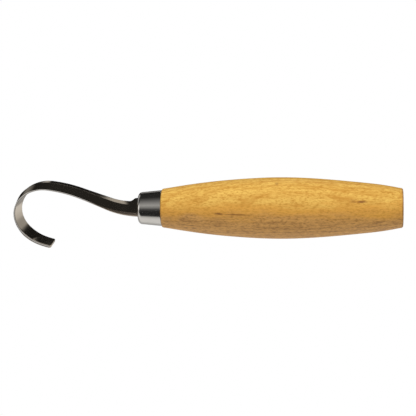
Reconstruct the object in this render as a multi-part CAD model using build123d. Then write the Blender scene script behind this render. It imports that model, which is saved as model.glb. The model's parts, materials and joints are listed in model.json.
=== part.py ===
"""Hook knife for carving bowls and spoons: a bent steel blade in a turned wooden handle.

The knife is drawn in a drawing frame, in millimetres: X along the handle's axis towards the butt,
with X = 0 where the ferrule meets the wood, Y in the plane of the hook and away from its opening,
Z from the blunt spine towards the cutting edge. It is then laid on its side as it rests on a bench.
"""
from build123d import *
from math import cos, radians, sin, tan
import os

# Handle: a barrel turned about X. HANDLE_SIDE is (distance along X, radius) from shoulder to butt.
HANDLE_LENGTH = 104.5
FRONT_RADIUS = 8.6
FRONT_ROUNDING = 1.2
SHOULDER_RADIUS = 8.05
SHOULDER_BULGE = 0.7
BELLY_RADIUS = 13.35
BUTT_RADIUS = 8.4
BUTT_ROUNDING = 1.0
HANDLE_SIDE = [
    (FRONT_ROUNDING, FRONT_RADIUS),
    (19.5, 11.3),
    (34.5, 12.7),
    (50.5, BELLY_RADIUS),
    (67.5, 12.78),
    (84.5, 11.3),
    (96.5, 9.9),
    (HANDLE_LENGTH, BUTT_RADIUS),
]

# Ferrule: a drawn cup over the handle's tenon
FERRULE_LENGTH = 10.4
FERRULE_REAR_RADIUS = 7.85
FERRULE_FRONT_RADIUS = 6.85
FERRULE_ROUNDING = 1.8
FERRULE_WALL = 0.7

# Tang and the bore that it is bedded in
TANG_LENGTH = 52.0
TANG_WIDTH_FRONT = 6.0
TANG_WIDTH_END = 3.2
BORE_RADIUS = 4.2
BORE_DEPTH = 45.0

# Blade: one strip, bent. Each bend is (length along the strip, turn in degrees).
THICKNESS = 2.0
ROOT_OFFSET = -1.12
ROOT_HEADING = 182.8
BENDS = [
    (13.9, -24.96),
    (13.1, 1.45),
    (13.27, 13.0),
    (11.37, 45.45),
    (16.89, 93.8),
    (9.5, 30.1),
    (4.7, 9.0),
]
STRIP_LENGTH = sum(length for length, turn in BENDS)
STRIP_WIDTH = 8.7
ROOT_EXTRA_WIDTH = 0.65
ROOT_TWIST = 21.4
ROOT_BLEND = 27.6
ROOT_FADE = 1.6
HOOK_SKEW = 10.4
SHOULDER_FLARE = 2.2
SHOULDER_FLAT = 2.6
SHOULDER_FADE = 2.4
TIP_WIDTH = 6.8
TIP_TAPER = 18.0
TIP_FADE = 1.5
TIP_SLANT = 0.3
TIP_SLANT_RUN = 8.0
TIP_LEAN = 1.15
TIP_LEAN_RUN = 18.0
SPINE_SLANT = 0.2

# Grinding: one bevel on the outside, from the land along the spine down to the edge
LAND_WIDTH = 3.0
GRIND_START = 3.0
GRIND_RUN = 15.0
EDGE_STEEL = [
    (GRIND_START, THICKNESS),
    (GRIND_START + GRIND_RUN, 0.4),
    (45.0, 0.4),
    (58.0, 0.7),
    (STRIP_LENGTH - 15.0, 0.9),
    (STRIP_LENGTH - 12.0, 1.2),
    (STRIP_LENGTH, 1.1),
]
SHOULDER_STATIONS = [0.0, 1.3, 2.6, 2.9, 3.3, 3.8, 4.4, 5.0]
STATION_SPACING = 2.0

# How the knife lies on a flat surface
LYING_ROLL = -1.6
LYING_PITCH = 4.64


def ramp(value, start, run):
    """Rises from 0 at the start to 1 after the run."""
    return min(max((value - start) / run, 0.0), 1.0)


def centreline(distance):
    """Point and heading of the strip's inner face, at a distance along it from the ferrule."""
    x, y, heading = -FERRULE_LENGTH, ROOT_OFFSET, radians(ROOT_HEADING)
    for length, turn in BENDS:
        run = min(distance, length)
        radius = length / radians(turn)
        new_heading = heading + run / radius
        x += radius * (sin(new_heading) - sin(heading))
        y -= radius * (cos(new_heading) - cos(heading))
        heading = new_heading
        distance -= run
        if distance <= 0:
            break
    return Vector(x, y, 0), heading


def edge_thickness(distance):
    """Steel left at the cutting edge: full at the root, thin round the hook, heavier at the tip."""
    thickness = EDGE_STEEL[0][1]
    for (start, steel), (end, next_steel) in zip(EDGE_STEEL, EDGE_STEEL[1:]):
        thickness += (next_steel - steel) * ramp(distance, start, end - start)
    return thickness


def blade_section(distance):
    """Five-cornered section of the strip, across its length."""
    point, heading = centreline(distance)
    along = Vector(cos(heading), sin(heading), 0)
    outward = Vector(sin(heading), -cos(heading), 0)
    root = (1.0 - ramp(distance, 0.0, ROOT_BLEND)) ** ROOT_FADE
    twist = radians(ROOT_TWIST * root)
    skew = radians(HOOK_SKEW * (1.0 - root))
    across = Vector(0, 0, cos(twist)) - outward * sin(twist) - Vector(tan(skew), 0, 0)
    across = across.normalized()
    normal = along.cross(across).normalized()
    full_width = STRIP_WIDTH + ROOT_EXTRA_WIDTH * root
    flare = SHOULDER_FLARE * (1.0 - ramp(distance, SHOULDER_FLAT, SHOULDER_FADE)) ** 2
    taper = (STRIP_WIDTH - TIP_WIDTH) * (1.0 - ramp(STRIP_LENGTH - distance, 0.0, TIP_TAPER)) ** TIP_FADE
    width = full_width + flare - taper
    slant = TIP_SLANT * (1.0 - ramp(STRIP_LENGTH - distance, 0.0, TIP_SLANT_RUN))
    lean = TIP_LEAN * (1.0 - ramp(STRIP_LENGTH - distance, 0.0, TIP_LEAN_RUN))
    edge_inside = point + across * (full_width / 2) + along * (slant * (1 - SPINE_SLANT)) + normal * lean
    spine_inside = point + across * (full_width / 2 - width) - along * (slant * SPINE_SLANT)
    spine_outside = spine_inside + normal * THICKNESS
    edge_outside = edge_inside + normal * edge_thickness(distance)
    land_inside = spine_inside + (edge_inside - spine_inside) * (LAND_WIDTH / width)
    land_outside = land_inside + normal * THICKNESS
    corners = [edge_inside, spine_inside, spine_outside, land_outside, edge_outside]
    return Wire.make_polygon(corners, close=True)


def make_strip():
    """The strip from the ferrule to the tip, lofted through its sections."""
    start = SHOULDER_STATIONS[-1]
    count = round((STRIP_LENGTH - start) / STATION_SPACING)
    step = (STRIP_LENGTH - start) / count
    stations = SHOULDER_STATIONS + [start + step * index for index in range(1, count + 1)]
    return Solid.make_loft([blade_section(distance) for distance in stations])


def make_tang():
    """Flat tapered spike in line with the strip's root, tilted as the root is."""
    tilt = radians(ROOT_TWIST)
    middle_y = ROOT_OFFSET + cos(tilt) * THICKNESS / 2
    middle_z = sin(tilt) * THICKNESS / 2
    front = -FERRULE_LENGTH
    end = front + TANG_LENGTH
    half_front = TANG_WIDTH_FRONT / 2
    half_end = TANG_WIDTH_END / 2
    outline = Polyline(
        (front, half_front),
        (end - TANG_WIDTH_END, half_end),
        (end, 0),
        (end - TANG_WIDTH_END, -half_end),
        (front, -half_front),
        close=True,
    )
    plate = extrude(make_face(outline), amount=THICKNESS / 2, both=True)
    return Pos(0, middle_y, middle_z) * Rot(X=ROOT_TWIST - 90) * plate


def turned(outline):
    """Solid turned about the handle's axis from the outline of half its section."""
    return revolve(make_face(outline), axis=Axis.X)


def make_ferrule(tang):
    """Drawn cup with a rounded front edge and a slot in its face for the tang."""
    cup = fillet_front(ferrule_blank(0.0), FERRULE_ROUNDING)
    return cup - make_tenon() - tang


def ferrule_blank(inset):
    """Tapered plug with the ferrule's outer shape, or its inner shape if inset by the wall."""
    outline = Polyline(
        (0, 0),
        (0, FERRULE_REAR_RADIUS - inset),
        (inset - FERRULE_LENGTH, FERRULE_FRONT_RADIUS - inset),
        (inset - FERRULE_LENGTH, 0),
        close=True,
    )
    return turned(outline)


def fillet_front(plug, radius):
    """Rounds the plug's front edge."""
    return fillet(plug.edges().filter_by(GeomType.CIRCLE).sort_by(Axis.X)[0], radius)


def make_tenon():
    """Turned stub of the handle that fills the ferrule."""
    return fillet_front(ferrule_blank(FERRULE_WALL), FERRULE_ROUNDING - FERRULE_WALL)


def make_bore():
    """The blind hole along the handle's axis, from inside the ferrule's face."""
    return Pos(FERRULE_WALL - FERRULE_LENGTH, 0, 0) * Rot(Y=90) * Cylinder(
        BORE_RADIUS,
        BORE_DEPTH + FERRULE_LENGTH - FERRULE_WALL,
        align=(Align.CENTER, Align.CENTER, Align.MIN),
    )


def make_handle():
    """Barrel with a rounded shoulder and butt, a tenon for the ferrule and a blind bore."""
    bulge_x = (1 - SHOULDER_BULGE) * FRONT_ROUNDING
    bulge_radius = SHOULDER_RADIUS + SHOULDER_BULGE * (FRONT_RADIUS - SHOULDER_RADIUS)
    shoulder = ThreePointArc((0, SHOULDER_RADIUS), (bulge_x, bulge_radius), (FRONT_ROUNDING, FRONT_RADIUS))
    side = Spline(*HANDLE_SIDE)
    ends = Polyline((HANDLE_LENGTH, BUTT_RADIUS), (HANDLE_LENGTH, 0), (0, 0), (0, SHOULDER_RADIUS))
    barrel = turned([shoulder, side, ends])
    barrel = fillet(barrel.edges().filter_by(GeomType.CIRCLE).sort_by(Axis.X)[-1], BUTT_ROUNDING)
    return barrel + make_tenon() - make_bore()


def lay_down(pieces):
    """Turns the knife to the way it lies, centred over the origin with its lowest point at Z = 0."""
    lying = Rot(Y=-LYING_PITCH) * Rot(X=LYING_ROLL)
    pieces = {name: lying * piece for name, piece in pieces.items()}
    box = Compound(children=[Part() + piece for piece in pieces.values()]).bounding_box()
    shift = Pos(-box.center().X, -box.center().Y, -box.min.Z)
    return {name: shift * piece for name, piece in pieces.items()}


def main():
    tang = make_tang()
    pieces = {
        "blade": Part() + make_strip() + tang,
        "ferrule": make_ferrule(tang),
        "handle": make_handle(),
        "tang_adhesive": make_bore() - tang,
    }
    pieces = lay_down(pieces)
    os.makedirs("parts", exist_ok=True)
    for name, piece in pieces.items():
        export_step(piece, f"parts/{name}.step")


main()
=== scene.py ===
"""Looks of the hook knife: ground steel hook, plated ferrule and oiled birch handle.

Pieces are built in the knife's drawing frame, in metres: X along the handle's axis towards the
butt, with X = 0 at the seam of ferrule and wood, Y in the plane of the hook and away from its
opening, Z from the spine towards the cutting edge. Each object is then laid down as the CAD is.
"""

import json
from math import atan2, cos, degrees, pi, radians, sin, tan

import bmesh
import bpy
from mathutils import Matrix, Vector, noise


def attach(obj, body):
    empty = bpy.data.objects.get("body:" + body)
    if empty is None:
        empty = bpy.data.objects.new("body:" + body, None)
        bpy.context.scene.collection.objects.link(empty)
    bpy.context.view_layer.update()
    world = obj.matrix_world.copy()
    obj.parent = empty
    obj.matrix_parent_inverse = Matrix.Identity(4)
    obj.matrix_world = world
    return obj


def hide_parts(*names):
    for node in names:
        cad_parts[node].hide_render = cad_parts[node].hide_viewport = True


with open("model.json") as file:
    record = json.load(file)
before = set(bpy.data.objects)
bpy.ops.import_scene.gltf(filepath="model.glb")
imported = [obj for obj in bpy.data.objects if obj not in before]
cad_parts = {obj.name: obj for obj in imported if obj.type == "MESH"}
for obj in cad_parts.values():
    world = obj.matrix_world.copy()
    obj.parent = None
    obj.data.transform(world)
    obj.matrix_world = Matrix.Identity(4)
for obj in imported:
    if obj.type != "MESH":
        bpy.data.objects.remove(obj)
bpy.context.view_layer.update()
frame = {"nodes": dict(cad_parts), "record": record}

MM = 0.001

# How the knife lies, from the axis of the handle's butt face
BUTT = frame["record"]["mounts"][0]
HANDLE_LENGTH = 104.5 * MM
LYING_ROLL = radians(-1.6)
handle_axis = Vector(BUTT["axis"]).normalized()
seam_point = Vector(BUTT["pos_m"]) - handle_axis * HANDLE_LENGTH
LAID = (
    Matrix.Translation(seam_point)
    @ handle_axis.to_track_quat("X", "Z").to_matrix().to_4x4()
    @ Matrix.Rotation(LYING_ROLL, 4, "X")
)

# Handle: a barrel turned about X. HANDLE_SIDE is (distance along X, radius) in millimetres.
FRONT_ROUNDING = 1.2 * MM
SHOULDER_RADIUS = 8.05 * MM
BUTT_ROUNDING = 1.0 * MM
HANDLE_SIDE = [
    (1.2, 8.6),
    (19.5, 11.3),
    (34.5, 12.7),
    (50.5, 13.35),
    (67.5, 12.78),
    (84.5, 11.3),
    (96.5, 9.9),
    (104.5, 8.4),
]
BORE_RADIUS = 4.2 * MM
BORE_DEPTH = 45.0 * MM

# Ferrule
FERRULE_LENGTH = 10.4 * MM
FERRULE_REAR_RADIUS = 7.85 * MM
FERRULE_FRONT_RADIUS = 6.85 * MM
FERRULE_ROUNDING = 1.8 * MM
FERRULE_WALL = 0.7 * MM

# Tang
TANG_LENGTH = 52.0 * MM
TANG_WIDTH_FRONT = 6.0 * MM
TANG_WIDTH_END = 3.2 * MM

# Blade: lengths in millimetres along the strip, turns in degrees
THICKNESS = 2.0
ROOT_OFFSET = -1.12
ROOT_HEADING = 182.8
BENDS = [
    (13.9, -24.96),
    (13.1, 1.45),
    (13.27, 13.0),
    (11.37, 45.45),
    (16.89, 93.8),
    (9.5, 30.1),
    (4.7, 9.0),
]
STRIP_LENGTH = sum(length for length, turn in BENDS)
STRIP_WIDTH = 8.7
ROOT_EXTRA_WIDTH = 0.65
ROOT_TWIST = 21.4
ROOT_BLEND = 27.6
ROOT_FADE = 1.6
HOOK_SKEW = 10.4
SHOULDER_FLARE = 2.2
SHOULDER_FLAT = 2.6
SHOULDER_FADE = 2.4
TIP_WIDTH = 6.8
TIP_TAPER = 18.0
TIP_FADE = 1.5
TIP_SLANT = 0.3
TIP_SLANT_RUN = 8.0
TIP_LEAN = 1.15
TIP_LEAN_RUN = 18.0
SPINE_SLANT = 0.2
LAND_WIDTH = 3.0
GRIND_START = 3.0
GRIND_RUN = 15.0
EDGE_STEEL = [
    (GRIND_START, THICKNESS),
    (GRIND_START + GRIND_RUN, 0.4),
    (45.0, 0.4),
    (58.0, 0.7),
    (STRIP_LENGTH - 15.0, 0.9),
    (STRIP_LENGTH - 12.0, 1.2),
    (STRIP_LENGTH, 1.1),
]


# ---------------------------------------------------------------- mesh helpers
def mesh_object(name, points, faces):
    """Object made of points in the drawing frame and laid down.

    Its "drawn" attribute keeps the points of the drawing frame, for its material.
    """
    mesh = bpy.data.meshes.new(name)
    mesh.from_pydata([LAID @ point for point in points], [], faces)
    mesh.polygons.foreach_set("use_smooth", [True] * len(faces))
    drawn = mesh.attributes.new("drawn", "FLOAT_VECTOR", "POINT")
    drawn.data.foreach_set("vector", [value for point in points for value in point])
    mesh.update()
    made = bpy.data.objects.new(name, mesh)
    bpy.context.scene.collection.objects.link(made)
    return made


def skin(loops, ring=False):
    """Points and faces of a closed skin over loops that all have the same number of points.

    The first and last loops are filled with a face each, or joined to each other if it is a ring.
    """
    points = [point for loop in loops for point in loop]
    size = len(loops[0])
    faces = []
    rows = len(loops) if ring else len(loops) - 1
    for row in range(rows):
        here = row * size
        there = ((row + 1) % len(loops)) * size
        for column in range(size):
            after = (column + 1) % size
            faces.append((here + column, here + after, there + after, there + column))
    if not ring:
        faces.append(tuple(range(size - 1, -1, -1)))
        last = (len(loops) - 1) * size
        faces.append(tuple(range(last, last + size)))
    return points, faces


def ramp(value, start, run):
    """Rises from 0 at the start to 1 after the run."""
    return min(max((value - start) / run, 0.0), 1.0)


def arc_points(centre, radius, start, end, count):
    """Points (x, r) of an arc in the half section, from one angle in degrees to another."""
    steps = [radians(start + (end - start) * index / count) for index in range(count + 1)]
    return [(centre[0] + radius * cos(angle), centre[1] + radius * sin(angle)) for angle in steps]


def circle_loop(x, radius, count):
    """Points of a circle round the handle's axis."""
    return [
        Vector((x, radius * cos(2 * pi * index / count), radius * sin(2 * pi * index / count)))
        for index in range(count)
    ]


# ---------------------------------------------------------------- handle
# How finely the handle is divided
HANDLE_SIDES = 224
HANDLE_STEP = 0.45 * MM
SHOULDER_STEPS = 6
RIM_STEPS = 8

# The butt's rounded rim: the angle at which it leaves the side, in degrees, and how far the side's end
# is from the butt and from the rim's centre, in roundings. The flat butt has loops at shares of it.
RIM_START = 72
RIM_REACH = 1.15
RIM_DEPTH = 0.98
FLAT_SHARES = (0.93, 0.8, 0.6, 0.4, 0.2, 0.08)

# Unevenness left by turning and sanding: height in millimetres, then waves per millimetre along the
# handle and across it, and a shift that sets one noise apart from another. It fades out towards the
# butt's middle and the seam.
UNEVENNESS = [
    (0.05, 0.05, 0.09, 0.0),
    (0.012, 0.35, 0.5, 0.0),
    (0.012, 0.12, 2.2, 7.0),
]
EVEN_RADIUS = 4 * MM
EVEN_SHOULDER = 2 * MM


def natural_spline(knots):
    """Smooth function through the knots, with no curvature at its ends."""
    xs = [x for x, y in knots]
    ys = [y for x, y in knots]
    count = len(knots)
    gaps = [xs[index + 1] - xs[index] for index in range(count - 1)]
    upper = [0.0] * count
    right = [0.0] * count
    for index in range(1, count - 1):
        before, after = gaps[index - 1], gaps[index]
        slope_change = (ys[index + 1] - ys[index]) / after - (ys[index] - ys[index - 1]) / before
        pivot = 2 * (before + after) - before * upper[index - 1]
        upper[index] = after / pivot
        right[index] = (6 * slope_change - before * right[index - 1]) / pivot
    bends = [0.0] * count
    for index in range(count - 2, 0, -1):
        bends[index] = right[index] - upper[index] * bends[index + 1]

    def value(x):
        index = max(0, min(count - 2, sum(1 for knot in xs[1:-1] if knot <= x)))
        gap = gaps[index]
        past, left = x - xs[index], xs[index + 1] - x
        curve = (bends[index] * left**3 + bends[index + 1] * past**3) / (6 * gap)
        line = (ys[index] / gap - bends[index] * gap / 6) * left
        return curve + line + (ys[index + 1] / gap - bends[index + 1] * gap / 6) * past

    return value


def handle_profile():
    """Half section of the handle's outside, from the seam to the middle of the butt."""
    side = natural_spline([(x * MM, radius * MM) for x, radius in HANDLE_SIDE])
    front = []
    for index in range(SHOULDER_STEPS + 1):
        turn = radians(90 * index / SHOULDER_STEPS)
        radius = SHOULDER_RADIUS + (side(FRONT_ROUNDING) - SHOULDER_RADIUS) * sin(turn)
        front.append((FRONT_ROUNDING * (1 - cos(turn)), radius))
    body_end = HANDLE_LENGTH - RIM_REACH * BUTT_ROUNDING
    count = round((body_end - FRONT_ROUNDING) / HANDLE_STEP)
    step = (body_end - FRONT_ROUNDING) / count
    xs = [FRONT_ROUNDING + step * index for index in range(1, count + 1)]
    body = [(x, side(x)) for x in xs]
    rim_centre = (HANDLE_LENGTH - BUTT_ROUNDING, side(body_end) - RIM_DEPTH * BUTT_ROUNDING)
    rim = arc_points(rim_centre, BUTT_ROUNDING, RIM_START, 0, RIM_STEPS)
    flat = [(HANDLE_LENGTH, rim_centre[1] * share) for share in FLAT_SHARES]
    return front + body + rim + flat


def unevenness(x, angle, radius):
    """How far the wood's surface stands out from its true shape, at a place on it."""
    y = radius / MM * cos(angle)
    z = radius / MM * sin(angle)
    height = 0.0
    for size, along, across, shift in UNEVENNESS:
        height += size * noise.noise(Vector((x / MM * along, y * across, z * across + shift)))
    return height * MM * ramp(radius, 0, EVEN_RADIUS) * ramp(x, 0, EVEN_SHOULDER)


def make_handle():
    """Barrel, tenon and bore as one closed skin, from the bore's end to the middle of the butt."""
    bore_mouth = FERRULE_WALL - FERRULE_LENGTH
    inside = [(BORE_DEPTH, 0.1 * BORE_RADIUS), (BORE_DEPTH, BORE_RADIUS), (bore_mouth, BORE_RADIUS)]
    inside += cup_profile(FERRULE_WALL)
    loops = [circle_loop(x, radius, HANDLE_SIDES) for x, radius in inside]
    for x, radius in handle_profile():
        loop = []
        for index in range(HANDLE_SIDES):
            angle = 2 * pi * index / HANDLE_SIDES
            reach = radius + unevenness(x, angle, radius)
            loop.append(Vector((x, reach * cos(angle), reach * sin(angle))))
        loops.append(loop)
    points, faces = skin(loops)
    return mesh_object("handle_body", points, faces)


# ---------------------------------------------------------------- ferrule
FERRULE_SIDES = 192
CUP_CORNER_STEPS = 12
CUP_SIDE_STEPS = 20
FACE_SHARES = (0.35, 0.7)
SLOT_SQUARENESS = 12
SLOT_EDGE = 0.15 * MM


def cup_profile(inset):
    """Half section of the cup's side, from its face to its rear, inset by the wall if asked."""
    front = inset - FERRULE_LENGTH
    rounding = FERRULE_ROUNDING - inset
    lean = (FERRULE_REAR_RADIUS - FERRULE_FRONT_RADIUS) / FERRULE_LENGTH
    slant = atan2(lean, 1.0)
    front_radius = FERRULE_FRONT_RADIUS - inset + inset * lean
    centre_radius = front_radius + rounding * lean - rounding / cos(slant)
    centre = (front + rounding, centre_radius)
    corner = arc_points(centre, rounding, 180, 90 + degrees(slant), CUP_CORNER_STEPS)
    start = corner[-1]
    end = (0.0, FERRULE_REAR_RADIUS - inset)
    side = []
    for index in range(1, CUP_SIDE_STEPS + 1):
        share = index / CUP_SIDE_STEPS
        side.append((start[0] + (end[0] - start[0]) * share, start[1] + (end[1] - start[1]) * share))
    return corner + side


def slot_loop(x):
    """Outline of the tang's slot, its points in step with a circle's."""
    tilt = radians(ROOT_TWIST)
    middle = Vector((0, ROOT_OFFSET + cos(tilt) * THICKNESS / 2, sin(tilt) * THICKNESS / 2)) * MM
    along = Vector((0, -sin(tilt), cos(tilt)))
    thick = Vector((0, cos(tilt), sin(tilt)))
    half_width = TANG_WIDTH_FRONT / 2
    half_thick = THICKNESS * MM / 2
    loop = []
    for index in range(FERRULE_SIDES):
        angle = 2 * pi * index / FERRULE_SIDES
        ray = Vector((0, cos(angle), sin(angle)))
        over = abs(ray.dot(along) / half_width)
        up = abs(ray.dot(thick) / half_thick)
        reach = (over**SLOT_SQUARENESS + up**SLOT_SQUARENESS) ** (-1 / SLOT_SQUARENESS)
        loop.append(Vector((x, 0, 0)) + middle + ray * reach)
    return loop


def make_ferrule():
    """The cup as one closed ring of loops: through the slot, over the outside and back inside."""
    front = -FERRULE_LENGTH
    outside = cup_profile(0.0)
    inside = list(reversed(cup_profile(FERRULE_WALL)))
    slot = slot_loop(front)
    rim = circle_loop(front, outside[0][1], FERRULE_SIDES)
    loops = [slot_loop(front + FERRULE_WALL), slot_loop(front + SLOT_EDGE), slot]
    for share in FACE_SHARES:
        loops.append([near.lerp(far, share) for near, far in zip(slot, rim)])
    for x, radius in outside + inside:
        loops.append(circle_loop(x, radius, FERRULE_SIDES))
    points, faces = skin(loops, ring=True)
    return mesh_object("ferrule_cup", points, faces)


# ---------------------------------------------------------------- blade
# The blade's finer shape, in millimetres, apart from shares, turns in degrees and counts of points
BLADE_STEP = 0.4
CORNER_ROUNDING = 0.16
EDGE_ROUNDING = 0.05
EDGE_ROUNDING_RUN = 4.0
CREASE_ROUNDING = 0.05
LONGEST_ROUNDING = 0.45
EDGE_CROWN = 0.14
EDGE_CREST = 0.42
THINNEST_EDGE = 0.05
NARROWEST_BEVEL = 0.6
END_RELIEF = 0.1
TIP_CORNER = 0.7
TIP_SPINE_CORNER = 0.7 * TIP_CORNER
TIP_CORNER_TURNS = (18, 36, 54, 70, 82)
TIP_END_GRIND = 0.9
TIP_END_RUN = 2.0
TANG_POINT_HALF = 0.2
TANG_ROUNDING = 0.1
OUTLINE_COUNTS = (18, 5, 8, 14, 4, 4)


def centreline(distance):
    """Point and heading of the strip's inner face, at a distance along it from the ferrule."""
    x, y, heading = -FERRULE_LENGTH / MM, ROOT_OFFSET, radians(ROOT_HEADING)
    for length, turn in BENDS:
        run = min(distance, length)
        radius = length / radians(turn)
        new_heading = heading + run / radius
        x += radius * (sin(new_heading) - sin(heading))
        y -= radius * (cos(new_heading) - cos(heading))
        heading = new_heading
        distance -= run
        if distance <= 0:
            break
    return Vector((x, y, 0)), heading


def edge_thickness(distance):
    """Steel left at the cutting edge: full at the root, thin round the hook, heavier at the tip."""
    thickness = EDGE_STEEL[0][1]
    for (start, steel), (end, next_steel) in zip(EDGE_STEEL, EDGE_STEEL[1:]):
        thickness += (next_steel - steel) * ramp(distance, start, end - start)
    return thickness


def near_tip(distance, run):
    """Rises from 0 to 1 over the last run of the strip."""
    return 1.0 - ramp(STRIP_LENGTH - distance, 0.0, run)


def strip_frame(distance):
    """Inner point at the edge, directions across, outward and along the strip, and its width."""
    point, heading = centreline(distance)
    along = Vector((cos(heading), sin(heading), 0))
    outward = Vector((sin(heading), -cos(heading), 0))
    root = (1.0 - ramp(distance, 0.0, ROOT_BLEND)) ** ROOT_FADE
    twist = radians(ROOT_TWIST * root)
    skew = radians(HOOK_SKEW * (1.0 - root))
    across = Vector((0, 0, cos(twist))) - outward * sin(twist) - Vector((tan(skew), 0, 0))
    across.normalize()
    normal = along.cross(across).normalized()
    full_width = STRIP_WIDTH + ROOT_EXTRA_WIDTH * root
    flare = SHOULDER_FLARE * (1.0 - ramp(distance, SHOULDER_FLAT, SHOULDER_FADE)) ** 2
    taper = (STRIP_WIDTH - TIP_WIDTH) * near_tip(distance, TIP_TAPER) ** TIP_FADE
    width = full_width + flare - taper
    edge_inside = point + across * (full_width / 2)
    return edge_inside, across, normal, along, width


def rounded_corners(corners, radii, counts):
    """Points round a polygon with rounded corners, with a count of points for each side.

    No rounding takes more of a side than LONGEST_ROUNDING.
    """
    outline = []
    total = len(corners)
    for index in range(total):
        here = Vector(corners[index])
        following = Vector(corners[(index + 1) % total])
        to_last = Vector(corners[index - 1]) - here
        to_next = following - here
        reach = min(radii[index], LONGEST_ROUNDING * to_last.length, LONGEST_ROUNDING * to_next.length)
        start = here + to_last.normalized() * reach
        end = here + to_next.normalized() * reach
        for step in (0.0, 0.25, 0.5, 0.75, 1.0):
            outline.append(start * (1 - step) ** 2 + here * 2 * step * (1 - step) + end * step**2)
        next_reach = min(radii[(index + 1) % total], LONGEST_ROUNDING * to_next.length)
        far = following - to_next.normalized() * next_reach
        for step in range(1, counts[index]):
            outline.append(end.lerp(far, step / counts[index]))
    return outline


def strip_outline(distance, corner=0.0, shrink=0.0):
    """Outline of the strip's section in its own plane: first axis to the edge, second outward.

    The corner is the share by which the tip's two rounded corners have drawn the sides in.
    """
    width = strip_frame(distance)[4]
    near_end = near_tip(distance, TIP_END_RUN)
    edge = -TIP_CORNER * corner - shrink
    spine = TIP_SPINE_CORNER * corner + shrink - width
    low = shrink
    high = THICKNESS - shrink - TIP_END_GRIND * near_end
    edge_high = max(edge_thickness(distance) - shrink, low + THINNEST_EDGE)
    crown = EDGE_CROWN * (edge_high - low)
    land = min(LAND_WIDTH - width, edge - NARROWEST_BEVEL)
    corners = [
        (edge - crown, low),
        (spine, low),
        (spine, high),
        (land, high),
        (edge - crown, edge_high),
        (edge, low + EDGE_CREST * (edge_high - low)),
    ]
    ground = ramp(distance, GRIND_START, EDGE_ROUNDING_RUN)
    edge_radius = CORNER_ROUNDING + (EDGE_ROUNDING - CORNER_ROUNDING) * ground
    radii = (edge_radius, CORNER_ROUNDING, CORNER_ROUNDING, CREASE_ROUNDING, edge_radius, CREASE_ROUNDING)
    return rounded_corners(corners, radii, OUTLINE_COUNTS)


def place_outline(distance, outline):
    """Outline set across the strip, with each point's place on the strip.

    Near the tip the strip's end is cut at a slant, and the cutting edge leans outward.
    """
    edge_inside, across, normal, along, width = strip_frame(distance)
    slant = TIP_SLANT * near_tip(distance, TIP_SLANT_RUN)
    lean = TIP_LEAN * near_tip(distance, TIP_LEAN_RUN)
    points = []
    places = []
    for spot in outline:
        from_spine = 1 + spot.x / width
        push = along * (slant * (from_spine - SPINE_SLANT)) + normal * (lean * from_spine)
        points.append((edge_inside + across * spot.x + normal * spot.y + push) * MM)
        places.append(Vector((distance, -spot.x, spot.y)))
    return points, places


def tang_loops():
    """Loops of the tang from its point to the blade's root, in step with the strip's outline."""
    tilt = radians(ROOT_TWIST)
    middle = Vector((0, ROOT_OFFSET + cos(tilt) * THICKNESS / 2, sin(tilt) * THICKNESS / 2))
    across = Vector((0, -sin(tilt), cos(tilt)))
    normal = Vector((0, cos(tilt), sin(tilt)))
    front = -FERRULE_LENGTH / MM
    end = front + TANG_LENGTH / MM
    point_length = TANG_WIDTH_END / MM
    thick = THICKNESS / 2
    stations = [
        (end - TANG_POINT_HALF, TANG_POINT_HALF),
        (end - point_length, point_length / 2),
        (front, TANG_WIDTH_FRONT / MM / 2),
    ]
    loops = []
    for x, half in stations:
        # The tang has no land or bevel, but two corners on its sides stand for theirs
        corners = [(half, -thick), (-half, -thick), (-half, thick), (0.2 * half, thick), (half, thick)]
        corners.append((half, 0))
        outline = rounded_corners(corners, (TANG_ROUNDING,) * len(corners), OUTLINE_COUNTS)
        places = [Vector((front - x, half - spot.x, spot.y + thick)) for spot in outline]
        points = [(Vector((x, 0, 0)) + middle + across * spot.x + normal * spot.y) * MM for spot in outline]
        loops.append((points, places))
    return loops


def make_blade():
    """Tang, root, bent strip and tip as one closed skin.

    Its "strip" attribute holds, in millimetres, the distance along the strip, the distance from the
    cutting edge and the height through the thickness.
    """
    body_end = STRIP_LENGTH - TIP_CORNER
    count = round((body_end - END_RELIEF) / BLADE_STEP)
    step = (body_end - END_RELIEF) / count
    loops = tang_loops()
    loops.append(place_outline(0.0, strip_outline(0.0, shrink=END_RELIEF)))
    for index in range(count + 1):
        distance = END_RELIEF + step * index
        loops.append(place_outline(distance, strip_outline(distance)))
    for turn in TIP_CORNER_TURNS:
        distance = body_end + (TIP_CORNER - END_RELIEF) * sin(radians(turn))
        corner = 1 - cos(radians(turn))
        loops.append(place_outline(distance, strip_outline(distance, corner)))
    loops.append(place_outline(STRIP_LENGTH, strip_outline(STRIP_LENGTH, corner, END_RELIEF)))

    # From tip to tang, the order in which the skin's faces look outward
    loops.reverse()
    points, faces = skin([points for points, places in loops])
    blade = mesh_object("hook_blade", points, faces)
    places = [value for loop in loops for place in loop[1] for value in place]
    strip = blade.data.attributes.new("strip", "FLOAT_VECTOR", "POINT")
    strip.data.foreach_set("vector", places)
    return blade


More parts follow.
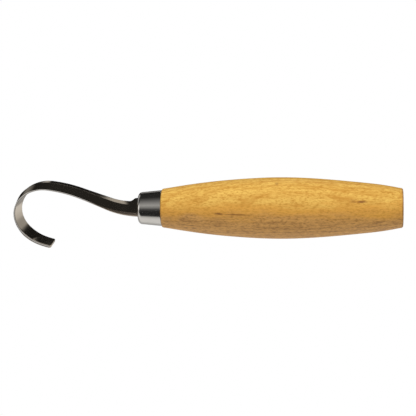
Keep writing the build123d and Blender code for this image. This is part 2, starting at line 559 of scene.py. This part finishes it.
# ---------------------------------------------------------------- node trees
class Tree:
    """Short calls for building a node tree. A value fed to a socket is a number, a colour or a socket."""

    def __init__(self, owner):
        owner.use_nodes = True
        self.nodes = owner.node_tree.nodes
        self.links = owner.node_tree.links

    def feed(self, socket, value):
        """Sets a socket, or links another socket to it."""
        if isinstance(value, bpy.types.NodeSocket):
            self.links.new(value, socket)
        elif isinstance(value, tuple) and len(value) == 3 and socket.type == "RGBA":
            socket.default_value = (*value, 1.0)
        else:
            socket.default_value = value

    def add(self, kind, inputs=(), **settings):
        """New node with its settings, and its inputs fed by number or name."""
        node = self.nodes.new(kind)
        for name, value in settings.items():
            setattr(node, name, value)
        for key, value in dict(inputs).items():
            self.feed(node.inputs[key], value)
        return node

    def math(self, operation, first, second=0.0):
        return self.add("ShaderNodeMath", {0: first, 1: second}, operation=operation).outputs[0]

    def plus(self, first, second):
        return self.math("ADD", first, second)

    def minus(self, first, second):
        return self.math("SUBTRACT", first, second)

    def times(self, first, second):
        return self.math("MULTIPLY", first, second)

    def attribute(self, name):
        return self.add("ShaderNodeAttribute", attribute_name=name).outputs["Vector"]

    def drawn(self):
        """Place in the drawing frame, in millimetres."""
        return self.scaled(self.attribute("drawn"), (1 / MM, 1 / MM, 1 / MM))

    def split(self, vector):
        return list(self.add("ShaderNodeSeparateXYZ", {0: vector}).outputs)

    def join(self, x, y, z):
        return self.add("ShaderNodeCombineXYZ", {0: x, 1: y, 2: z}).outputs[0]

    def scaled(self, vector, scale):
        inputs = {0: vector, 1: scale}
        return self.add("ShaderNodeVectorMath", inputs, operation="MULTIPLY").outputs[0]

    def moved(self, vector, step):
        inputs = {0: vector, 1: step}
        return self.add("ShaderNodeVectorMath", inputs, operation="ADD").outputs[0]

    def away(self, place, middle, half):
        """Distance from a middle, where 1 is the surface of an ellipsoid with these half sizes."""
        offset = self.moved(place, tuple(-value for value in middle))
        return self.length(self.scaled(offset, tuple(1.0 / value for value in half)))

    def noise(self, place, scale, detail=2.0, roughness=0.5):
        """Noise from 0 to 1, with three numbers of waves per unit of the place."""
        inputs = {"Vector": self.scaled(place, scale), "Scale": 1.0}
        inputs.update({"Detail": detail, "Roughness": roughness})
        return self.add("ShaderNodeTexNoise", inputs).outputs["Fac"]

    def cells(self, place, scale):
        """Distance to the nearest of scattered points, with three numbers of points per unit."""
        inputs = {"Vector": self.scaled(place, scale), "Scale": 1.0, "Randomness": 1.0}
        return self.add("ShaderNodeTexVoronoi", inputs).outputs["Distance"]

    def length(self, vector):
        return self.add("ShaderNodeVectorMath", {0: vector}, operation="LENGTH").outputs["Value"]

    def rise(self, value, low, high, to_low=0.0, to_high=1.0):
        """Smooth rise of a value's range onto another, held at both ends."""
        inputs = {"Value": value, "From Min": low, "From Max": high, "To Min": to_low, "To Max": to_high}
        return self.add("ShaderNodeMapRange", inputs, interpolation_type="SMOOTHSTEP").outputs[0]

    def band(self, value, start, full, fading, end):
        """1 where a value is between full and fading, falling smoothly to 0 on either side."""
        return self.times(self.rise(value, start, full), self.rise(value, fading, end, 1.0, 0.0))

    def mix(self, share, first, second):
        """The first colour, giving way to the second as the share goes from 0 to 1."""
        node = self.add("ShaderNodeMix", data_type="RGBA")
        self.feed(node.inputs[0], share)
        self.feed(node.inputs[6], first)
        self.feed(node.inputs[7], second)
        return node.outputs[2]

    def curve(self, value, stops):
        """Grey level that follows (value, level) stops, for values from 0 to 1."""
        node = self.add("ShaderNodeValToRGB", {0: value})
        band = node.color_ramp
        band.interpolation = "EASE"
        while len(band.elements) < len(stops):
            band.elements.new(0.5)
        for element, (where, level) in zip(band.elements, stops):
            element.position = where
            element.color = (level, level, level, 1.0)
        return node.outputs[0]

    def bump(self, height, distance, normal=None):
        """Normal of a surface raised by a height times a distance in metres, on top of another bump."""
        inputs = {"Height": height, "Distance": distance, "Strength": 1.0}
        if normal is not None:
            inputs["Normal"] = normal
        return self.add("ShaderNodeBump", inputs).outputs[0]


def new_material(name):
    """Material with its tree and the inputs of its shader."""
    material = bpy.data.materials.new(name)
    tree = Tree(material)
    return material, tree, tree.nodes["Principled BSDF"].inputs


# ---------------------------------------------------------------- wood
LIGHT_WOOD = (0.93, 0.59, 0.135)
DARK_WOOD = (0.66, 0.325, 0.055)
STREAK_WOOD = (0.56, 0.26, 0.035)
# Amber band and heart tones: partly the wood's own colour, partly painted shade away from the key light
AMBER_HALF_SHADE_WOOD = (0.84, 0.42, 0.075)
HEART_AND_SHADE_WOOD = (0.74, 0.40, 0.125)
HEART_AND_SHADE_STREAK = (0.34, 0.165, 0.055)
MARK_WOOD = (0.20, 0.07, 0.024)
END_WOOD = (0.62, 0.32, 0.09)
END_RING = (0.30, 0.13, 0.035)

# Growth rings: a pith line below the handle, leaning a little along it, in millimetres
PITH = (-8.5, -28.0)
PITH_LEAN = (0.03, -0.02)
RING_SPACING = 1.9
RING_SWAY = 5.0

# Short dark marks in the grain: (x, y, z) of the middle, half sizes in millimetres and strength
MARKS = [
    ((25.4, 1.0, 11.7), (2.4, 0.60, 3.0), 0.75),
    ((33.0, 0.8, 12.6), (5.5, 0.36, 3.0), 0.65),
    ((86.5, 5.6, 9.4), (2.6, 0.50, 3.0), 0.75),
    ((83.0, 5.9, 9.6), (1.6, 0.70, 3.0), 0.40),
    ((50.4, 12.3, 4.5), (0.8, 0.50, 3.0), 0.35),
]

# Heartwood and painted shade, on the side away from the key light: the direction in which it gives way
# to sapwood (Y, less Z), how ragged its border is, and the middle and half sizes of a browner patch near
# the ferrule, in millimetres. Its browner colour is partly the wood's own and partly painted shade.
HEART_AND_SHADE_SIDE = (0.96, 0.29)
HEART_AND_SHADE_RAGGEDNESS = 9.0
BROWN_PATCH = ((13.5, -4.0, 9.5), (6.5, 5.0, 6.0))


def late_wood(tree, place):
    """Dark part of each growth ring, from 0 to 1. Slow noise draws the rings out of true."""
    x, y, z = tree.split(place)
    sway = tree.times(tree.minus(tree.noise(place, (0.035, 0.11, 0.11), 3.0), 0.5), RING_SWAY)
    from_y = tree.minus(y, tree.plus(tree.times(x, PITH_LEAN[0]), PITH[0]))
    from_z = tree.minus(z, tree.plus(tree.times(x, PITH_LEAN[1]), PITH[1]))
    radius = tree.plus(tree.length(tree.join(0.0, from_y, from_z)), sway)
    ring = tree.math("FRACT", tree.math("DIVIDE", radius, RING_SPACING))
    return tree.band(ring, 0.45, 0.93, 0.93, 1.0)


def light_colour(tree, place, late, medium, streak):
    """Sapwood: pale wood, darkened by rings, broad bands and mottling, with streaks along the grain."""
    broad = tree.noise(place, (0.02, 0.30, 0.30), 2.0)
    mottle = tree.noise(place, (0.25, 0.5, 0.5), 3.0, 0.6)
    tone = tree.plus(tree.times(late, 0.45), tree.rise(broad, 0.35, 0.75, 0.0, 0.30))
    tone = tree.plus(tone, tree.rise(medium, 0.40, 0.75, 0.0, 0.45))
    tone = tree.plus(tone, tree.rise(mottle, 0.45, 0.75, 0.0, 0.45))
    return tree.mix(streak, tree.mix(tone, LIGHT_WOOD, DARK_WOOD), STREAK_WOOD)


def add_heartwood_and_shade(tree, place, streak, colour):
    """Browner wood along the side away from the key light and in a patch, its border drawn out along the
    grain: partly heartwood, partly painted shade.
    """
    y, z = tree.split(place)[1:]
    ragged = tree.minus(tree.noise(place, (0.06, 0.35, 0.35), 4.0, 0.65), 0.5)
    height = tree.minus(tree.times(y, HEART_AND_SHADE_SIDE[0]), tree.times(z, HEART_AND_SHADE_SIDE[1]))
    height = tree.plus(height, tree.times(ragged, HEART_AND_SHADE_RAGGEDNESS))
    patch = tree.rise(tree.away(place, *BROWN_PATCH), 0.3, 1.2, 5.0, 0.0)
    height = tree.minus(height, patch)
    # Painted shade, partly heartwood: an amber half-shade band, then darker, browner wood further from the
    # key light
    amber = tree.rise(height, -2.5, 3.5, 1.0, 0.0)
    heart_and_shade = tree.rise(height, -7.0, -0.5, 0.9, 0.0)
    colour = tree.mix(amber, colour, tree.mix(tree.times(streak, 0.8), AMBER_HALF_SHADE_WOOD, STREAK_WOOD))
    bands = tree.rise(tree.noise(place, (0.025, 1.0, 1.0), 3.0), 0.40, 0.66, 0.0, 0.45)
    heart_and_shade_tone = tree.plus(tree.times(streak, 0.9), bands)
    return tree.mix(heart_and_shade, colour, tree.mix(heart_and_shade_tone, HEART_AND_SHADE_WOOD, HEART_AND_SHADE_STREAK))


def add_marks(tree, place, colour):
    """Short dark marks with uneven borders."""
    uneven = tree.times(tree.minus(tree.noise(place, (0.5, 1.6, 1.6), 3.0), 0.5), 1.5)
    for middle, half, strength in MARKS:
        away = tree.plus(tree.away(place, middle, half), uneven)
        colour = tree.mix(tree.rise(away, 0.25, 1.25, strength, 0.0), colour, MARK_WOOD)
    return colour


def add_end_grain(tree, place, late, fine, colour):
    """Darker end grain with rings, on the butt's face."""
    x = tree.split(place)[0]
    end = tree.rise(x, HANDLE_LENGTH / MM - 1.0, HANDLE_LENGTH / MM - 0.4)
    rings = tree.plus(tree.times(late, 0.7), tree.rise(fine, 0.35, 0.75, 0.0, 0.5))
    return tree.mix(tree.times(end, 0.9), colour, tree.mix(rings, END_WOOD, END_RING))


def wood_material():
    """Oiled birch. Its noises are drawn out along the grain, in waves per millimetre."""
    material, tree, shader = new_material("oiled_birch")
    place = tree.drawn()
    medium = tree.noise(place, (0.10, 0.9, 0.9), 3.0, 0.6)
    fleck = tree.noise(place, (0.6, 1.5, 1.5), 4.0, 0.65)
    fine = tree.noise(place, (0.8, 3.0, 3.0), 3.0, 0.6)
    pore = tree.rise(tree.cells(place, (0.45, 2.3, 2.3)), 0.10, 0.20, 1.0, 0.0)
    streak = tree.plus(
        tree.rise(fleck, 0.42, 0.70, 0.0, 0.80),
        tree.rise(fine, 0.45, 0.75, 0.0, 0.45),
    )
    late = late_wood(tree, place)

    colour = light_colour(tree, place, late, medium, streak)
    # Darker, browner side away from the key light: partly heartwood, partly painted shade
    colour = add_heartwood_and_shade(tree, place, streak, colour)
    colour = tree.mix(tree.times(pore, 0.25), colour, STREAK_WOOD)
    colour = add_marks(tree, place, colour)
    colour = add_end_grain(tree, place, late, fine, colour)
    tree.feed(shader["Base Color"], colour)

    rough = tree.plus(tree.times(medium, 0.16), tree.times(pore, 0.15))
    tree.feed(shader["Roughness"], tree.plus(rough, 0.38))
    tree.feed(shader["Specular IOR Level"], 0.35)
    tree.feed(shader["Coat Weight"], 0.10)
    tree.feed(shader["Coat Roughness"], 0.32)
    grain = tree.minus(tree.times(fine, 0.6), tree.times(pore, 0.5))
    tree.feed(shader["Normal"], tree.bump(medium, 0.05 * MM, tree.bump(grain, 0.03 * MM)))
    return material


# ---------------------------------------------------------------- metals
POLISHED_STEEL = (0.70, 0.62, 0.51)
SMUDGED_STEEL = (0.60, 0.52, 0.42)
BROWN_EDGE = (0.32, 0.25, 0.19)
PALE_EDGE = (0.54, 0.46, 0.38)
# Painted shade and painted highlight for the cutting edge's face
SHADED_EDGE = (0.12, 0.105, 0.09)
HIGHLIT_EDGE = (0.86, 0.82, 0.76)
BRIGHT_PLATE = (0.72, 0.70, 0.67)
HANDLED_PLATE = (0.64, 0.62, 0.585)

# The tip's steel is honed a little off its own plane: rise per length towards the cutting edge, and
# how far from the tip the honing starts and is full, in millimetres
TIP_HONING = 0.108
HONING_START = 9.5
HONING_FULL = 5.0

# How pale the cutting edge is, by its height as a share of the steel's thickness: a painted highlight line
# between lines of painted shade
EDGE_HIGHLIGHT_STRIPES = [(0.0, 0.1), (0.08, 0.2), (0.20, 0.9), (0.32, 0.2), (0.50, 0.0), (1.0, 0.1)]


def plate_material():
    """Bright nickel plate with drawing lines round the cup and light scratches."""
    material, tree, shader = new_material("nickel_plate")
    place = tree.drawn()
    handled = tree.noise(place, (0.35, 0.35, 0.35), 3.0)
    lines = tree.noise(place, (5.0, 0.25, 0.25), 2.0)
    scratch = tree.noise(place, (0.5, 6.0, 6.0), 2.0, 0.7)
    tree.feed(shader["Metallic"], 1.0)
    tree.feed(shader["Base Color"], tree.mix(handled, BRIGHT_PLATE, HANDLED_PLATE))
    rough = tree.plus(tree.times(handled, 0.10), tree.times(scratch, 0.06))
    tree.feed(shader["Roughness"], tree.plus(rough, 0.07))
    tree.feed(shader["Normal"], tree.bump(handled, 0.006 * MM, tree.bump(lines, 0.0006 * MM)))
    return material


def steel_material():
    """Ground steel: polished faces, lines across the bevel, and a rougher edge, brown at the root, with a
    painted highlight line between painted shade along the rest of the edge.
    """
    material, tree, shader = new_material("ground_steel")
    strip = tree.attribute("strip")
    along, from_edge, height = tree.split(strip)
    place = tree.drawn()

    grind = tree.noise(strip, (3.2, 0.22, 0.4), 3.0, 0.6)
    roll = tree.noise(strip, (0.12, 3.0, 3.0), 3.0, 0.6)
    smudge = tree.noise(place, (0.22, 0.22, 0.22), 3.0)
    speck = tree.noise(place, (1.1, 1.1, 1.1), 3.0, 0.6)

    # The cutting edge's own narrow face, above the inner one
    above = tree.rise(height, 0.03, 0.12)
    root = tree.rise(along, 16.0, 24.0, 1.0, 0.0)
    brown = tree.times(tree.times(tree.rise(from_edge, 0.30, 0.50, 1.0, 0.0), above), root)
    pale = tree.times(tree.times(tree.rise(from_edge, 0.10, 0.16, 1.0, 0.0), above), tree.minus(1.0, root))
    # Painted highlight and shade: a pale line between darker ones across the height of the edge's face
    painted_edge_light = tree.curve(tree.math("DIVIDE", height, THICKNESS), EDGE_HIGHLIGHT_STRIPES)

    colour = tree.mix(smudge, POLISHED_STEEL, SMUDGED_STEEL)
    colour = tree.mix(brown, colour, tree.mix(speck, BROWN_EDGE, PALE_EDGE))
    colour = tree.mix(pale, colour, tree.mix(painted_edge_light, SHADED_EDGE, HIGHLIT_EDGE))
    tree.feed(shader["Base Color"], colour)
    tree.feed(shader["Metallic"], tree.minus(1.0, tree.times(pale, 0.75)))
    rough = tree.plus(tree.times(grind, 0.05), tree.times(smudge, 0.06))
    rough = tree.plus(rough, tree.times(tree.plus(brown, pale), 0.40))
    tree.feed(shader["Roughness"], tree.plus(rough, 0.05))

    # Honing of the tip, then grinding lines across the strip and rolling lines along it
    slope = tree.rise(along, STRIP_LENGTH - HONING_START, STRIP_LENGTH - HONING_FULL, 0.0, -TIP_HONING)
    from_middle = tree.minus(from_edge, TIP_WIDTH / 2)
    normal = tree.bump(tree.times(from_middle, slope), MM)
    normal = tree.bump(grind, 0.0004 * MM, normal)
    tree.feed(shader["Normal"], tree.bump(roll, 0.0006 * MM, normal))
    return material


# ---------------------------------------------------------------- resin
CLEAR_RESIN = (0.50, 0.36, 0.17)
CLOUDY_RESIN = (0.36, 0.24, 0.10)
RESIN_BUBBLE = (0.7, 0.6, 0.4)


def adhesive_material():
    """Cured resin: amber, slightly cloudy, with small bubbles."""
    material, tree, shader = new_material("tang_resin")
    place = tree.add("ShaderNodeTexCoord").outputs["Object"]
    cloud = tree.noise(place, (180.0, 180.0, 180.0), 4.0)
    bubble = tree.rise(tree.cells(place, (900.0, 900.0, 900.0)), 0.1, 0.3, 1.0, 0.0)
    resin = tree.mix(cloud, CLEAR_RESIN, CLOUDY_RESIN)
    tree.feed(shader["Base Color"], tree.mix(tree.times(bubble, 0.4), resin, RESIN_BUBBLE))
    tree.feed(shader["Roughness"], tree.plus(tree.times(cloud, 0.2), 0.35))
    tree.feed(shader["Normal"], tree.bump(bubble, 0.05 * MM))
    return material


# ---------------------------------------------------------------- studio
CAMERA_DISTANCE = 720 * MM
CAMERA_TILT = radians(-18.15)
CAMERA_TURN = radians(-1.555)
VIEW_WIDTH = 181.3 * MM
AIM = Vector((20.0, 0.0, -0.1)) * MM
STUDIO = Matrix.Rotation(CAMERA_TURN, 4, "Z") @ Matrix.Rotation(CAMERA_TILT, 4, "X")
ROOM = 3.0

# Brightness of the studio's long panels, by the angle round the knife's length, in degrees from the
# camera towards the top of the picture. They lean, by this angle for the room's half length.
PANEL_LEAN = 8.0
PANELS = [
    (-180, 0.25),
    (-168, 0.36),
    (-150, 0.42),
    (-136, 0.54),
    (-112, 0.80),
    (-86, 0.80),
    (-70, 0.60),
    (-60, 0.02),
    (-27, 0.028),
    (-13, 0.075),
    (1, 0.275),
    (15, 0.435),
    (30, 0.315),
    (45, 0.19),
    (60, 0.09),
    (76, 0.028),
    (96, 0.026),
    (140, 0.014),
    (165, 0.012),
    (180, 0.25),
]

# Short panels: brightness, then where each starts, is full, is still full and ends, first along the
# knife as a share of the room's radius, then round it in degrees
SHORT_PANELS = [
    (0.50, (-0.06, 0.04, 0.25, 0.29), (112, 117, 127, 132)),
    (0.45, (-0.28, -0.22, -0.13, -0.07), (135, 139, 150, 156)),
    (0.38, (0.26, 0.38, 1.10, 1.20), (135, 144, 190, 200)),
    (0.38, (0.26, 0.38, 1.10, 1.20), (-200, -190, -162, -145)),
    (0.40, (-1.20, -1.10, -0.50, -0.38), (100, 115, 150, 165)),
    (1.20, (-1.20, -1.10, -0.93, -0.84), (-38, -26, 50, 66)),
]
PANEL_TINT = (1.0, 0.985, 0.96)

# Even light from all round, and soft lights: name, angle from the camera towards the picture's top in
# degrees, size in metres and brightness. White paper that faces a light of brightness 1 is full white.
SURROUNDINGS = 0.25
LIGHTS = [
    ("key_light", 42, (0.7, 0.5), 0.92),
    ("low_light", -98, (0.7, 0.3), 0.56),
]
LIGHT_DISTANCE = 1.0
LIGHT_WATTS = (pi * LIGHT_DISTANCE) ** 2
SENSOR_WIDTH = 36.0


def make_camera():
    """Camera above the knife, looking at the aim, as wide as the view at its distance."""
    data = bpy.data.cameras.new("camera")
    data.sensor_width = SENSOR_WIDTH
    data.lens = SENSOR_WIDTH * CAMERA_DISTANCE / VIEW_WIDTH
    data.clip_start = 0.01
    camera = bpy.data.objects.new("camera", data)
    bpy.context.scene.collection.objects.link(camera)
    back = Matrix.Translation(STUDIO.to_3x3() @ Vector((0, 0, CAMERA_DISTANCE)))
    camera.matrix_world = Matrix.Translation(LAID @ AIM) @ back @ STUDIO
    bpy.context.scene.camera = camera


def seen_only_by(thing, rays):
    """Hides a thing from every kind of ray that isn't named."""
    for kind in ("camera", "diffuse", "glossy", "transmission", "volume_scatter", "shadow"):
        setattr(thing, f"visible_{kind}", kind in rays)


def glowing(name):
    """Material that only glows, with its tree and its emission inputs."""
    material = bpy.data.materials.new(name)
    tree = Tree(material)
    tree.nodes.clear()
    glow = tree.add("ShaderNodeEmission")
    tree.add("ShaderNodeOutputMaterial", {0: glow.outputs[0]})
    return material, tree, glow.inputs


def dome(name, radius):
    """Sphere round the knife, turned so that its Z points at the camera and its Y up the picture."""
    mesh = bpy.data.meshes.new(name)
    shape = bmesh.new()
    bmesh.ops.create_icosphere(shape, subdivisions=4, radius=radius)
    shape.to_mesh(mesh)
    shape.free()
    made = bpy.data.objects.new(name, mesh)
    bpy.context.scene.collection.objects.link(made)
    made.matrix_world = STUDIO
    return made


def pale_floor():
    """White floor and backdrop, which only the camera sees."""
    mesh = bpy.data.meshes.new("floor")
    corners = [(-ROOM, -ROOM, 0), (ROOM, -ROOM, 0), (ROOM, ROOM, 0), (-ROOM, ROOM, 0)]
    mesh.from_pydata(corners, [], [(0, 1, 2, 3)])
    floor = bpy.data.objects.new("floor", mesh)
    bpy.context.scene.collection.objects.link(floor)
    backdrop = dome("backdrop", 1.2 * ROOM)
    material, tree, glow = glowing("white_paper")
    tree.feed(glow["Color"], (1.0, 1.0, 1.0))
    for thing in (floor, backdrop):
        thing.data.materials.append(material)
        seen_only_by(thing, ("camera",))


def reflecting_studio():
    """Long soft panels round the knife, which only the shiny surfaces see."""
    panels = dome("studio_panels", ROOM)
    material, tree, glow = glowing("panel_light")
    place = tree.add("ShaderNodeTexCoord").outputs["Object"]
    x, y, z = tree.split(tree.scaled(place, (1 / ROOM, 1 / ROOM, 1 / ROOM)))
    angle = tree.times(tree.math("ARCTAN2", y, z), 180 / pi)
    leaned = tree.plus(angle, tree.times(x, PANEL_LEAN))
    turn = tree.math("FRACT", tree.math("DIVIDE", tree.plus(leaned, 540.0), 360.0))
    light = tree.curve(turn, [((degree + 180) / 360, level) for degree, level in PANELS])
    for level, along, around in SHORT_PANELS:
        patch = tree.times(tree.band(x, *along), tree.band(angle, *around))
        light = tree.plus(light, tree.times(patch, level))
    tree.feed(glow["Color"], PANEL_TINT)
    tree.feed(glow["Strength"], light)
    panels.data.materials.append(material)
    material.cycles.emission_sampling = "NONE"
    seen_only_by(panels, ("glossy",))


def soft_light(name, angle, size, brightness):
    """Area light aimed at the knife, which shows in no reflection."""
    data = bpy.data.lights.new(name, "AREA")
    data.shape = "RECTANGLE"
    data.size, data.size_y = size
    data.energy = brightness * LIGHT_WATTS
    lamp = bpy.data.objects.new(name, data)
    bpy.context.scene.collection.objects.link(lamp)
    turn = Matrix.Rotation(radians(-angle), 4, "X")
    lamp.matrix_world = STUDIO @ turn @ Matrix.Translation((0, 0, LIGHT_DISTANCE))
    lamp.visible_glossy = False


def soft_surroundings(brightness):
    """Even light from all round, which shows in no reflection."""
    world = bpy.data.worlds.new("studio")
    bpy.context.scene.world = world
    tree = Tree(world)
    tree.feed(tree.nodes["Background"].inputs["Color"], (brightness, brightness, brightness))
    world.cycles_visibility.glossy = False
    world.cycles_visibility.camera = False


# ---------------------------------------------------------------- scene
def main():
    make_camera()
    pieces = (
        (make_handle(), "handle", "handle_wood", wood_material()),
        (make_ferrule(), "ferrule", "plated_metal", plate_material()),
        (make_blade(), "blade", "blade_steel", steel_material()),
    )
    for piece, node, slot, material in pieces:
        piece.data.materials.append(material)
        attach(piece, "root")
        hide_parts(node)
    resin = frame["nodes"]["tang_adhesive"]
    resin.data.materials.clear()
    resin.data.materials.append(adhesive_material())

    pale_floor()
    reflecting_studio()
    soft_surroundings(SURROUNDINGS)
    for light in LIGHTS:
        soft_light(*light)
    bpy.context.scene.view_settings.view_transform = "Standard"


main()
